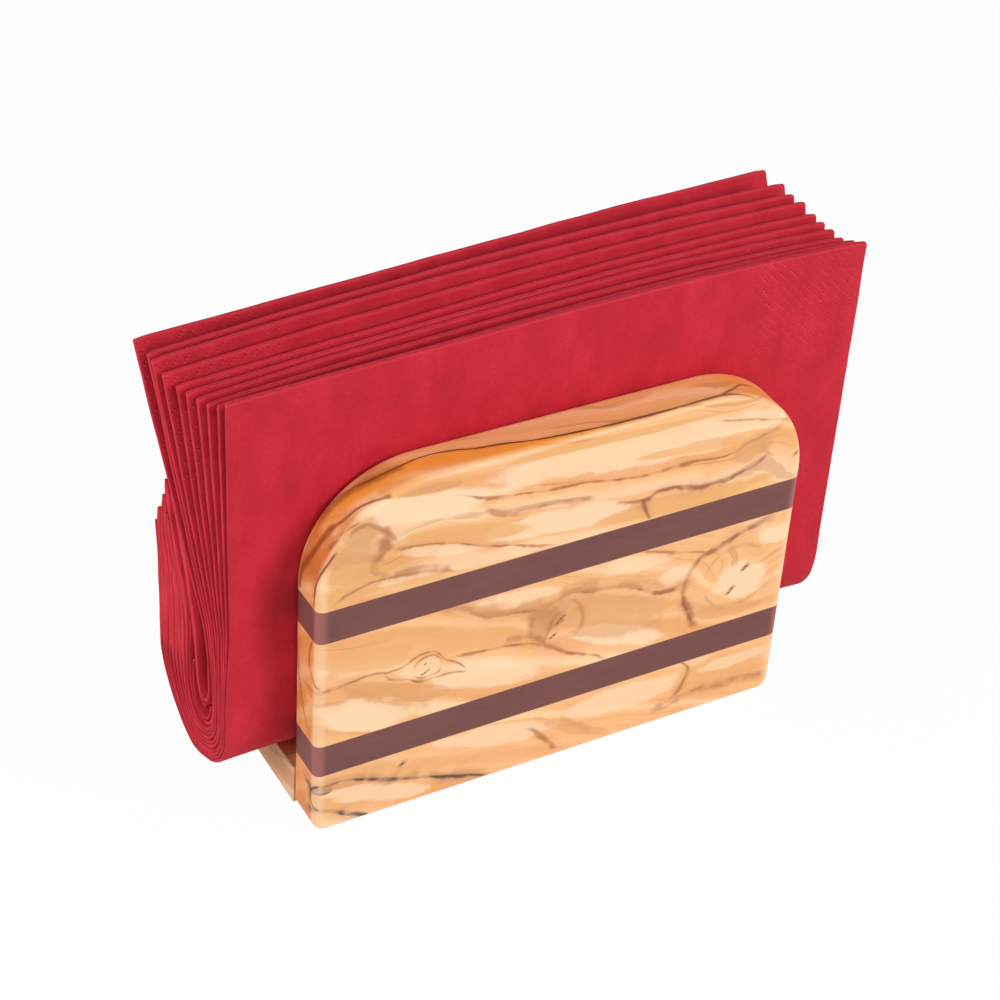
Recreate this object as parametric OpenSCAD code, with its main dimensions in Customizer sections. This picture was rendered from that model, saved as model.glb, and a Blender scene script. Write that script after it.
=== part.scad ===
// Napkin holder: two upright wooden panels with dark strips let in, joined by a base board,
// and a bent stack of folded paper napkins standing between them. Millimetres.
// The origin is the middle of the underside. X runs along the panels, +Y to the back, Z up.

/* [Panels] */
// Length of the holder along X
panel_length = 130; // [110:1:160]
// Height of both panels
panel_height = 97; // [85:1:110]
// Thickness of a panel
panel_thickness = 12; // [9:0.5:16]
// Radius of the two upper corners of a panel
corner_radius = 28; // [10:1:29]
// Rounding of the upright edges and of the top edge
edge_radius = 2; // [1:0.5:3]
// Rounding along the underside
foot_radius = 1; // [0.5:0.1:1.5]
// Radius of the two lower corners of a panel
lower_corner_radius = 3; // [1:0.5:6]

/* [Strips] */
// Height of the lower strip's underside
lower_strip_z = 17.6; // [15:0.1:24]
// Height of the upper strip's underside
upper_strip_z = 57.7; // [45:0.1:59]
// Height of each strip
strip_height = 9.2; // [5:0.1:9.3]

/* [Base] */
// Clear width between the panels
slot_width = 42; // [36:0.5:50]
// Thickness of the base board
base_thickness = 11; // [8:0.5:12]
// Diameter of the dowels that join the panels to the base
dowel_diameter = 6; // [4:0.5:6]
// Length of a dowel
dowel_length = 20; // [14:1:24]
// How deep a dowel sits in its panel
dowel_in_panel = 8; // [5:0.5:9]
// Spacing of the three dowels along X
dowel_pitch = 45; // [30:1:50]

/* [Napkins] */
// Width of a folded napkin
napkin_width = 166.6; // [150:0.2:180]
// Thickness of a folded napkin
napkin_thickness = 0.84; // [0.5:0.02:0.86]
// Distance that the napkins' middle stands to the right of the holder's
napkin_offset = 1.2; // [-5:0.1:5]
// Height of the stack above the base board
napkin_lift = 0.3; // [0.1:0.1:1]

/* [Hidden] */
$fn = 64;
olive = [0.86, 0.66, 0.42];
plum = [0.44, 0.26, 0.25];
red = [0.75, 0.15, 0.22];

half_slot = slot_width / 2;
upper_z = upper_strip_z + strip_height;
middle_z = lower_strip_z + strip_height;
arch_z = panel_height - corner_radius;
dowel_z = base_thickness / 2;
dowel_chamfer = 0.6;

// Side view of the stack, as [y, z] on each napkin's middle line. Napkin 0 is at the front.
// Here z is counted from 10 mm below the top of the base board.
front_leg = -half_slot + 0.8;
leg_pitch = 0.95;
last_leg = -11.4;
leg_heights = [128, 116, 104, 94, 84, 76, 70, 64, 58, 54, 50, 46, 40, 33];
leg_tops = [-20.2, -16.2, -13.2, -10.4, -8, -5.4, -2.7, 0.3, 4.6, 12.2];
knee_z = 46;
knee_run = 12;
lean_run = 64;
outer_bend = [
    [-20.2, 26], [-19.1, 20], [-15.9, 15], [-11, 11.7], [-5.2, 10.72], [1, 10.72],
    [6.9, 11.3], [12.3, 13.7], [16.6, 18.1], [19.4, 23.7]
];
inner_bend = [
    [-12.6, 27], [-12.2, 23.7], [-10.8, 21], [-8.6, 19.4], [-6, 18.8], [-3.2, 18.9],
    [-0.6, 20], [1.6, 22.2], [2.9, 25.2], [3, 28.6]
];
last_bend = [
    [-10.2, 31.2], [-9.6, 29], [-8.4, 27.4], [-6.7, 27], [-5, 28], [-3.7, 30.2]
];
// The short legs: the outermost one, the pitch from it to the eighth, then the last two.
back_heights = [32, 36, 41, 46, 51, 56, 60, 63, 66, 69, 72, 77];
back_outer = [18.9, 18.9, 19, 19.1, 19.1, 19.4, 20.3, 20.3, 19.8, 18.8, 18.2, 17.4];
back_pitch = [1.88, 1.92, 2, 1.95, 1.8, 1.6, 1.38, 1.2, 1, 1, 0.96, 0.96];
back_inner = [3.6, 3.5, 3, 3.2, 4.1, 6.2, 8.3, 9.6, 10.9, 12, 13, 13.7];
back_last = [-2.9, -2.9, -2.6, -1.7, -0.4, 1.2, 2.6, 3.7, 5.1, 6.1, 7.4, 10];
back_tops = [61.5, 66, 66.5, 72, 72.4, 70.5, 68, 67, 77.5, 78.5];

// Front view of the tall legs: the slanted sides and top of each napkin.
left_x = -napkin_width / 2 + napkin_offset;
right_x = napkin_width / 2 + napkin_offset;
top_left_dx = [0.7, 0.6, -0.6, -1.8, -3.2, -4.4, -6.3, -7.4, -6.7, -6.9];
top_right_dx = [-0.3, -0.4, -1.6, -2.5, -3.6, -4.5, -5.7, -6.9, -6.5, -6.4];
top_left_z = [119.5, 116.4, 115.4, 115.4, 116, 116.3, 118, 119.8, 118.8, 118];
top_right_z = [121, 119.1, 118.5, 119.4, 120.3, 121.3, 123.2, 123.8, 124.2, 123.7];
straight_z = 33;
waist_z = 55;

function waist_dx(k) = 1.2 - 0.3 * k;
function leg_y(k) = k < 9 ? front_leg + leg_pitch * k : last_leg;
// The last napkin swings back a little above its bend.
function swing(k, z) = k < 9 ? 0 : lookup(z, [[33, 1.1], [40, 0.5], [46, 0]]);
function lean(z) = z < knee_z ? 0
    : z < knee_z + knee_run ? (z - knee_z) ^ 2 / (2 * knee_run * lean_run)
    : knee_run / (2 * lean_run) + (z - knee_z - knee_run) / lean_run;
function tall(k) = [for (z = leg_heights)
    [leg_y(k) + (leg_tops[k] - leg_y(k)) * lean(z) + swing(k, z), z]];
function bend(k) = k == 9 ? last_bend
    : [for (i = [0 : len(outer_bend) - 1])
        outer_bend[i] + (inner_bend[i] - outer_bend[i]) * k / 8];
function at(z, values) = lookup(z, [for (i = [0 : len(values) - 1]) [back_heights[i], values[i]]]);
function back_y(k, z) = k == 9 ? at(z, back_last) : k == 8 ? at(z, back_inner)
    : at(z, back_outer) - k * at(z, back_pitch);
function short(k) = concat(
    [for (z = back_heights) if (z > (k == 9 ? 34 : 30) && z < back_tops[k] - 1) [back_y(k, z), z]],
    [[back_y(k, back_tops[k]), back_tops[k]]]
);
function path(k) = concat(tall(k), bend(k), short(k));

function unit(v) = v / norm(v);
function normal(p, i) = let (
    a = p[max(i - 1, 0)], b = p[min(i + 1, len(p) - 1)], d = unit(b - a)
) [-d[1], d[0]];
// The outline of path p from point a to point b, as thick as a folded napkin.
function slab(p, a, b) = concat(
    [for (i = [a : b]) p[i] + normal(p, i) * napkin_thickness / 2],
    [for (i = [b : -1 : a]) p[i] - normal(p, i) * napkin_thickness / 2]
);

module along_x(from, to) {
    translate([from, 0, 0]) rotate([90, 0, 90]) linear_extrude(to - from) children();
}

// Plan section of a panel: a long rectangle with rounded corners.
module plan() {
    inner_x = panel_length / 2 - edge_radius;
    inner_y = panel_thickness / 2 - edge_radius;
    square([2 * inner_x, panel_thickness], center = true);
    square([panel_length, 2 * inner_y], center = true);
    for (x = [-inner_x, inner_x], y = [-inner_y, inner_y]) translate([x, y]) circle(edge_radius);
}

// Half section of a rounded rim that ends at radius r.
module rim(r) {
    translate([0, -panel_thickness / 2]) square([r - edge_radius, panel_thickness]);
    translate([0, edge_radius - panel_thickness / 2])
        square([r, panel_thickness - 2 * edge_radius]);
    for (s = [-1, 1]) translate([r - edge_radius, s * (panel_thickness / 2 - edge_radius)])
        circle(edge_radius);
}

module piece(bottom, top) {
    translate([0, 0, bottom]) linear_extrude(top - bottom) plan();
}

// The upper board ends in two rounded corners with a straight top between them.
module arch() {
    span = panel_length / 2 - corner_radius;
    piece(upper_z, arch_z);
    translate([0, 0, arch_z]) {
        along_x(-span, span) rotate(90) rim(corner_radius);
        for (s = [-1, 1]) translate([s * span, 0, 0]) rotate([90, 0, 0]) rotate([0, 0, s > 0 ? 0 : 90])
            rotate_extrude(angle = 90) rim(corner_radius);
    }
}

// The lower board is rounded along its underside and bored for the dowels.
module foot(inward) {
    corner = panel_length / 2 - lower_corner_radius;
    difference() {
        intersection() {
            piece(0, lower_strip_z);
            translate([0, panel_thickness, 0]) rotate([90, 0, 0])
                linear_extrude(2 * panel_thickness) {
                    translate([-corner, 0]) square([2 * corner, lower_strip_z]);
                    translate([-panel_length / 2, lower_corner_radius])
                        square([panel_length, lower_strip_z]);
                    for (s = [-1, 1]) translate([s * corner, lower_corner_radius])
                        circle(lower_corner_radius);
                }
            along_x(-panel_length, panel_length) {
                translate([-panel_thickness / 2 + foot_radius, 0])
                    square([panel_thickness - 2 * foot_radius, lower_strip_z]);
                translate([-panel_thickness / 2, foot_radius])
                    square([panel_thickness, lower_strip_z - foot_radius]);
                for (s = [-1, 1]) translate([s * (panel_thickness / 2 - foot_radius), foot_radius])
                    circle(foot_radius);
            }
        }
        for (i = [-1 : 1]) translate([i * dowel_pitch, inward * panel_thickness / 2, dowel_z])
            rotate([inward * 90, 0, 0]) cylinder(d = dowel_diameter, h = dowel_in_panel);
    }
}

module board() {
    difference() {
        along_x(-panel_length / 2, panel_length / 2)
            translate([-half_slot, 0]) square([slot_width, base_thickness]);
        for (i = [-1 : 1], s = [-1, 1]) translate([i * dowel_pitch, s * half_slot, dowel_z])
            rotate([s * 90, 0, 0])
                cylinder(d = dowel_diameter, h = dowel_length - dowel_in_panel);
    }
}

// A dowel, i along X and s = -1 in front or 1 at the back.
module dowel(i, s) {
    straight = dowel_length - 2 * dowel_chamfer;
    color(olive) translate([i * dowel_pitch, s * (half_slot + dowel_in_panel), dowel_z])
        rotate([s * 90, 0, 0]) {
            cylinder(d1 = dowel_diameter - 2 * dowel_chamfer, d2 = dowel_diameter, h = dowel_chamfer);
            translate([0, 0, dowel_chamfer]) cylinder(d = dowel_diameter, h = straight);
            translate([0, 0, dowel_chamfer + straight]) cylinder(
                d1 = dowel_diameter, d2 = dowel_diameter - 2 * dowel_chamfer, h = dowel_chamfer);
        }
}

module panel_at(s) {
    translate([0, s * (half_slot + panel_thickness / 2), 0]) children();
}

module front_upper_board() { color(olive) panel_at(-1) arch(); }
module front_upper_strip() { color(plum) panel_at(-1) piece(upper_strip_z, upper_z); }
module front_middle_board() { color(olive) panel_at(-1) piece(middle_z, upper_strip_z); }
module front_lower_strip() { color(plum) panel_at(-1) piece(lower_strip_z, middle_z); }
module front_lower_board() { color(olive) panel_at(-1) foot(1); }
module back_upper_board() { color(olive) panel_at(1) arch(); }
module back_upper_strip() { color(plum) panel_at(1) piece(upper_strip_z, upper_z); }
module back_middle_board() { color(olive) panel_at(1) piece(middle_z, upper_strip_z); }
module back_lower_strip() { color(plum) panel_at(1) piece(lower_strip_z, middle_z); }
module back_lower_board() { color(olive) panel_at(1) foot(-1); }
module base_board() { color(olive) board(); }

// A folded napkin: a tall leg that is cut slanting, the bend on the base, and a short leg.
module napkin(k) {
    p = path(k);
    joint = len(leg_heights) - 1;
    color(red) translate([0, 0, base_thickness - 10 + napkin_lift - 0.3]) {
        intersection() {
            along_x(-120, 120) polygon(slab(p, 0, joint));
            translate([0, 60, 0]) rotate([90, 0, 0]) linear_extrude(120) polygon([
                [left_x, straight_z - 3], [left_x, straight_z], [left_x + waist_dx(k), waist_z],
                [left_x + top_left_dx[k], top_left_z[k]],
                [right_x + top_right_dx[k], top_right_z[k]],
                [right_x, straight_z], [right_x, straight_z - 3]
            ]);
        }
        along_x(left_x, right_x) polygon(slab(p, joint, len(p) - 1));
    }
}

front_upper_board();
front_upper_strip();
front_middle_board();
front_lower_strip();
front_lower_board();
back_upper_board();
back_upper_strip();
back_middle_board();
back_lower_strip();
back_lower_board();
base_board();
dowel(-1, -1);  // front_dowel_left
dowel(0, -1);  // front_dowel_middle
dowel(1, -1);  // front_dowel_right
dowel(-1, 1);  // back_dowel_left
dowel(0, 1);  // back_dowel_middle
dowel(1, 1);  // back_dowel_right
napkin(0);  // napkin_1
napkin(1);  // napkin_2
napkin(2);  // napkin_3
napkin(3);  // napkin_4
napkin(4);  // napkin_5
napkin(5);  // napkin_6
napkin(6);  // napkin_7
napkin(7);  // napkin_8
napkin(8);  // napkin_9
napkin(9);  // napkin_10
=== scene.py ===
import math

import bmesh
import bpy
from mathutils import Matrix, Vector
from mathutils.kdtree import KDTree


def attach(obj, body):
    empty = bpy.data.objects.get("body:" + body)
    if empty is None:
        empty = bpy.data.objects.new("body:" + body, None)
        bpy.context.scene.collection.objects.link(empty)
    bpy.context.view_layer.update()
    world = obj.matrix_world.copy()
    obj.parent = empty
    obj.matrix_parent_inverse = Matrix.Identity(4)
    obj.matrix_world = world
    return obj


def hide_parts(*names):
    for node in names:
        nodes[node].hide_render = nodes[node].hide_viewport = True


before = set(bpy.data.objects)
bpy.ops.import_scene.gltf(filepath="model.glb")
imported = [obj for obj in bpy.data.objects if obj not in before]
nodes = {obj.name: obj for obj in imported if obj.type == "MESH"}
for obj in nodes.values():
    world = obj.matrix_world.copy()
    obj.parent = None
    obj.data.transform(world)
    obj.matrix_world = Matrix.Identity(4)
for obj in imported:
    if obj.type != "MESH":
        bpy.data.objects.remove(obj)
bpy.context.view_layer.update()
mm = 0.001
scene = bpy.context.scene


def tone(red, green, blue):
    # a colour as the eye reads it, 0 to 255 a channel
    parts = [c / 255 for c in (red, green, blue)]
    return [((c + 0.055) / 1.055) ** 2.4 if c > 0.04 else c / 12.92 for c in parts] + [1]


def setStops(ramp, stops):
    first, last = ramp.elements[0], ramp.elements[-1]
    last.position, last.color = stops[-1]
    first.position, first.color = stops[0]
    for place, colour in stops[1:-1]:
        ramp.elements.new(place).color = colour


def setCurve(mapping, points):
    line = mapping.curves[0]
    line.points[0].location, line.points[-1].location = points[0], points[-1]
    for place, height in points[1:-1]:
        line.points.new(place, height)
    for point in line.points:
        point.handle_type = "AUTO_CLAMPED"
    mapping.update()


class Wire:
    # one output in a node tree, so that a pattern reads as plain sums
    def __init__(self, tree, socket=None):
        self.tree, self.socket = tree, socket

    def ramp(self, stops):
        return self.node("ShaderNodeValToRGB", {"stops": stops}, {"Fac": self})

    def curve(self, points):
        return self.node("ShaderNodeFloatCurve", {"curve": points}, {"Value": self})

    def node(self, kind, settings=None, values=None, out=0):
        made = self.tree.nodes.new(kind)
        for name, value in (settings or {}).items():
            if name == "stops":
                setStops(made.color_ramp, value)
            elif name == "curve":
                setCurve(made.mapping, value)
            else:
                setattr(made, name, value)
        for name, value in (values or {}).items():
            if isinstance(value, Wire):
                self.tree.links.new(value.socket, made.inputs[name])
            else:
                made.inputs[name].default_value = value
        return Wire(self.tree, made.outputs[out]) if made.outputs else None

    def out(self, name):
        return Wire(self.tree, self.socket.node.outputs[name])

    def math(self, operation, *rest):
        values = dict(enumerate((self, *rest)))
        return self.node("ShaderNodeMath", {"operation": operation}, values)

    def __add__(self, other):
        return self.math("ADD", other)

    def __sub__(self, other):
        return self.math("SUBTRACT", other)

    def __rsub__(self, other):
        return self.node("ShaderNodeMath", {"operation": "SUBTRACT"}, {0: other, 1: self})

    def __mul__(self, other):
        return self.math("MULTIPLY", other)

    def __truediv__(self, other):
        return self.math("DIVIDE", other)

    def __abs__(self):
        return self.math("ABSOLUTE")

    __radd__, __rmul__ = __add__, __mul__

    def rise(self, low, high):
        # 0 below low, 1 above high and smooth between
        return self.node("ShaderNodeMapRange", {"interpolation_type": "SMOOTHSTEP"},
                         {"Value": self, "From Min": low, "From Max": high})

    def fall(self, low, high):
        return 1 - self.rise(low, high)

    def clip(self, low=0.0, high=1.0):
        return self.math("MAXIMUM", low).math("MINIMUM", high)

    def point(self, x, y, z):
        return self.node("ShaderNodeCombineXYZ", {}, {0: x, 1: y, 2: z})

    def axes(self):
        parts = self.node("ShaderNodeSeparateXYZ", {}, {0: self})
        return parts.out("X"), parts.out("Y"), parts.out("Z")

    def noise(self, detail, rough=0.5):
        # self is the place, already scaled to the size of the blotches
        return self.node("ShaderNodeTexNoise", {"noise_dimensions": "3D"},
                         {"Vector": self, "Scale": 1.0, "Detail": detail, "Roughness": rough})

    def bands(self, detail, rough=0.5):
        # noise along one number, so that it makes bands
        return self.node("ShaderNodeTexNoise", {"noise_dimensions": "1D"},
                         {"W": self, "Scale": 1.0, "Detail": detail, "Roughness": rough})

    def blend(self, share, colour, kind="MIX"):
        # this colour, going over to the other one where share is 1
        return self.node("ShaderNodeMix", {"data_type": "RGBA", "blend_type": kind},
                         {0: share, 6: self, 7: colour}, out=2)

    def times(self, amount):
        return self.node("ShaderNodeVectorMath", {"operation": "SCALE"},
                         {0: self, "Scale": amount})


def newMaterial(name):
    made = bpy.data.materials.new(name)
    made.use_nodes = True
    made.node_tree.nodes.clear()
    return made, Wire(made.node_tree)


def placeOn(start):
    # the place on the object, in millimetres
    return start.node("ShaderNodeTexCoord", out="Object").times(1000.0).axes()


def shade(start, colour, rough, height, depth, fixed):
    bump = start.node("ShaderNodeBump", {}, {"Strength": 1.0, "Distance": depth, "Height": height})
    values = {"Base Color": colour, "Roughness": rough, "Normal": bump, **fixed}
    surface = start.node("ShaderNodeBsdfPrincipled", {}, values)
    start.node("ShaderNodeOutputMaterial", {}, {"Surface": surface})


# The holder's own sizes, in millimetres.
holder = {
    "length": 130, "height": 97, "thick": 12, "slot": 42, "corner": 28, "lowCorner": 3,
    "edge": 2.0, "foot": 1.0, "cornerSteps": 22, "lowSteps": 6, "edgeSteps": 5,
    "stripHeights": (17.6, 26.8, 57.7, 66.9), "base": 11, "baseEdge": 0.4, "baseSteps": 3,
}
halfLength = holder["length"] / 2
halfSlot = holder["slot"] / 2
outerFace = halfSlot + holder["thick"]  # from the middle of the holder to a panel's outer face


def objectFrom(name, bm):
    mesh = bpy.data.meshes.new(name)
    bmesh.ops.recalc_face_normals(bm, faces=bm.faces)
    bm.to_mesh(mesh)
    bm.free()
    made = bpy.data.objects.new(name, mesh)
    scene.collection.objects.link(made)
    return made


def settle(piece):
    # the modifiers' result becomes the plain mesh
    bpy.context.view_layer.update()
    graph = bpy.context.evaluated_depsgraph_get()
    mesh = bpy.data.meshes.new_from_object(piece.evaluated_get(graph),
                                           preserve_all_data_layers=True, depsgraph=graph)
    piece.modifiers.clear()
    old = piece.data
    piece.data = mesh
    mesh.name = piece.name
    if old.users == 0:
        bpy.data.meshes.remove(old)
    return piece


def bevelEdges(piece, steps):
    soft = piece.modifiers.new("softEdges", "BEVEL")
    soft.limit_method = "WEIGHT"
    soft.width = holder["edge"] * mm
    soft.segments = steps
    soft.miter_outer = "MITER_ARC"
    return settle(piece)


def evenShading(piece):
    # flat faces stay flat beside the eased edges, and the saw cuts stay sharp
    even = piece.modifiers.new("evenShading", "WEIGHTED_NORMAL")
    even.keep_sharp = True
    even.weight = 100
    return settle(piece)


def wholePanel(side):
    # one panel as it is before it is parted into boards, side -1 in front and 1 at the back
    top, outline = holder["height"], []
    for turn, sideX, low in ((180, -1, True), (270, 1, True), (0, 1, False), (90, -1, False)):
        radius, steps = ((holder["lowCorner"], holder["lowSteps"]) if low
                         else (holder["corner"], holder["cornerSteps"]))
        middleX, middleZ = sideX * (halfLength - radius), radius if low else top - radius
        for step in range(steps + 1):
            angle = math.radians(turn + 90 * step / steps)
            outline.append((middleX + radius * math.cos(angle), middleZ + radius * math.sin(angle)))
    faces = sorted((side * halfSlot, side * outerFace))
    bm = bmesh.new()
    weight = bm.edges.layers.float.new("bevel_weight_edge")
    rows = []
    for y in faces:
        rows.append([bm.verts.new((x * mm, y * mm, z * mm)) for x, z in outline])
        bm.faces.new(rows[-1])
    count = len(outline)
    for i in range(count):
        j = (i + 1) % count
        bm.faces.new((rows[0][i], rows[0][j], rows[1][j], rows[1][i]))
        for row in rows:
            edge = bm.edges.get((row[i], row[j]))
            # the underside is eased less than the rest
            (a, b), (c, d) = outline[i], outline[j]
            down = max(0.0, c - a) / math.hypot(c - a, d - b)
            edge[weight] = 1 - (1 - holder["foot"] / holder["edge"]) * down * down
    return bevelEdges(objectFrom("wholePanel", bm), holder["edgeSteps"])


def sawnBoard(name, whole, low, high):
    bm = bmesh.new()
    bm.from_mesh(whole.data)
    for height, keepsAbove in ((low, True), (high, False)):
        if height is None:
            continue
        parts = bm.verts[:] + bm.edges[:] + bm.faces[:]
        cut = bmesh.ops.bisect_plane(bm, geom=parts, plane_co=(0, 0, height * mm),
                                     plane_no=(0, 0, 1), dist=1e-7,
                                     clear_inner=keepsAbove, clear_outer=not keepsAbove)
        rim = [e for e in cut["geom_cut"] if isinstance(e, bmesh.types.BMEdge)]
        bmesh.ops.edgeloop_fill(bm, edges=rim)
        for edge in rim:
            edge.smooth = False
    for face in bm.faces:
        face.smooth = True
    return evenShading(objectFrom(name, bm))


boardNames = ("lower_board", "lower_strip", "middle_board", "upper_strip", "upper_board")
boards = {}
for side, word in ((-1, "front"), (1, "back")):
    whole = wholePanel(side)
    cuts = (None, *holder["stripHeights"], None)
    for boardName, low, high in zip(boardNames, cuts[:-1], cuts[1:]):
        name = f"{word}_{boardName}"
        boards[name] = sawnBoard(name + "_wood", whole, low, high)
    bpy.data.objects.remove(whole)
print("panels:", len(boards), "boards")


def easedBase():
    # the board under the napkins, flush with both ends of the panels
    low = (-halfLength, -halfSlot, 0)
    size = (holder["length"], holder["slot"], holder["base"])
    bm = bmesh.new()
    bmesh.ops.create_cube(bm, size=1)
    for vert in bm.verts:
        vert.co = Vector([(a + s * (c + 0.5)) * mm for a, s, c in zip(low, size, vert.co)])
    weight = bm.edges.layers.float.new("bevel_weight_edge")
    for edge in bm.edges:
        edge[weight] = holder["baseEdge"] / holder["edge"]
    for face in bm.faces:
        face.smooth = True
    return evenShading(bevelEdges(objectFrom("base_board_wood", bm), holder["baseSteps"]))


boards["base_board"] = easedBase()


# Olive wood. Places on a board are millimetres from its left end and from a line 1 mm above
# the underside; rimVeins and endVeins are drawn on the top and on the left end instead, as
# places along the edge and depths from the front.
woodTones = {
    "brown": tone(172, 98, 44), "tan": tone(216, 154, 98), "cream": tone(252, 215, 174),
    "plum": tone(140, 66, 26), "dark": tone(82, 60, 56), "orange": tone(246, 158, 54),
    "rust": tone(140, 60, 10), "bark": tone(112, 48, 6), "grey": tone(182, 114, 66),
    "honey": tone(232, 170, 106),
}

oliveWood = {
    "streaks": [
        (0.34, tone(234, 168, 104)), (0.45, tone(240, 178, 116)), (0.49, tone(243, 184, 124)),
        (0.60, tone(246, 190, 132)), (0.64, tone(249, 202, 150)), (0.78, tone(251, 209, 162)),
    ],
    "endShade": 0.35, "endTone": tone(196, 178, 176), "bump": 0.00003,
}

frontUpper = {
    "name": "oliveFrontUpper", "slope": 0.16, "swing": 9, "seed": 3.0,
    "knots": [(13, 79, 9, 8, 6), (118, 77, 8, 7, -5)],
    "patches": [
        ("cream", 0.9, 26, 87.6, 19, 4.2, -7), ("cream", 0.7, 30, 74.6, 11, 1.6, -14),
        ("cream", 0.85, 62, 73, 17, 3.6, -5), ("cream", 0.8, 88, 88, 40, 5.0, -3),
        ("tan", 0.75, 27, 92.6, 7.5, 1.3, -4), ("tan", 0.75, 10, 80, 6, 9, 0),
        ("tan", 0.7, 115, 78.5, 6, 4, 30), ("honey", 0.9, 98, 69, 24, 2.4, 0),
        ("honey", 0.9, 8, 72, 9, 4.5, 0), ("honey", 0.8, 36, 77.6, 15, 2.4, -12),
        ("honey", 0.7, 104, 83.6, 20, 1.6, -4), ("honey", 0.85, 76, 92.8, 34, 1.1, -2),
    ],
    "veins": [
        ("brown", 0.85, 0.5,
         [(33, 89), (43, 85.5), (54, 83.5), (66, 82.5), (77, 80.5), (85, 79.5), (94, 80), (102, 79),
          (106, 78.5), (113, 80.8), (123, 83)]),
        ("brown", 0.7, 1.1, [(41, 83), (46, 80.2), (54, 79), (62, 78.4), (71, 77)]),
        ("plum", 0.8, 0.75,
         [(76, 73.7), (84, 72.3), (89, 73.7), (95, 73), (102, 71.5), (109, 71.8), (115, 73.5),
          (120, 76.5)]),
        ("plum", 0.75, 0.6, [(83.6, 72.6), (84.5, 70), (86.3, 66.2)]),
        ("tan", 0.8, 0.9, [(120.5, 74.5), (117.5, 79), (118.6, 81.5), (122, 84)]),
        ("brown", 0.85, 0.45, [(18, 79), (24, 77.5), (33, 75.5), (41, 72.5), (52, 69), (61, 66.4)]),
        ("brown", 0.7, 0.5, [(3, 67.3), (9, 69.6), (16, 70.6), (24, 70.2), (31, 68.8), (36, 66.6)]),
        ("grey", 0.8, 1.0,
         [(7, 84.6), (9, 86.6), (11.4, 87.2), (14, 85.9), (16.6, 83.6), (19.4, 81.2)]),
        ("grey", 0.9, 1.7,
         [(15.4, 86), (16.2, 83), (16.2, 80), (14.6, 77.5), (14, 75), (15.6, 71.6)]),
        ("grey", 0.7, 1.2, [(15, 71.4), (20, 71.4), (27, 70.4), (34, 68.4)]),
        ("brown", 0.8, 0.45, [(3.6, 81.8), (5.3, 84.4), (7.2, 86.6), (10, 88)]),
        ("brown", 0.6, 0.5, [(101, 90.6), (110, 88), (118, 86), (125, 84.5)]),
    ],
    "rimVeins": [
        ("bark", 0.95, 0.38,
         [(8, 9.9), (12, 9.2), (17, 7.4), (22, 7), (30, 7.6), (36, 7), (41, 5.6), (47, 4.8),
          (55, 3.1), (64, 2.1), (76, 1.4), (90, 1.3), (104, 1.5), (111, 1), (115, 0.4)]),
        ("rust", 0.6, 1.5, [(4, 10.5), (9, 9.6), (13, 8.6), (18, 7), (24, 6.4)]),
        ("rust", 0.8, 0.5, [(104, 1.6), (108.4, 3.3), (113, 5.9), (117, 6.2)]),
        ("rust", 0.8, 0.7, [(4.5, 6.3), (7.7, 3.9), (9.6, 3.5), (11.3, 3), (14, 1.6), (18, 0.3)]),
    ],
    "endVeins": [
        ("rust", 0.85, 1.2,
         [(66, 9.8), (71.2, 9.4), (74.5, 8.4), (78.9, 6.6), (82.3, 5.9), (86, 5)]),
        ("bark", 0.9, 0.45,
         [(66, 2.2), (69.5, 2.1), (72.2, 2.2), (75.3, 1.6), (78.4, 0.9), (82, 0.4)]),
    ],
    "glow": [(7, 6.4), (13, 4.1), (17, 3.4), (25, 2.8), (34, 1.7), (46, 0.9), (60, 0.5), (75, 0.4)],
    "glowTop": [(7, 9.9), (13, 9), (17, 7.4), (25, 7), (34, 7), (46, 4.9), (60, 2.4), (75, 1.4)],
    "pits": [(127.6, 73.6, 0.35)],
}
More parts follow.
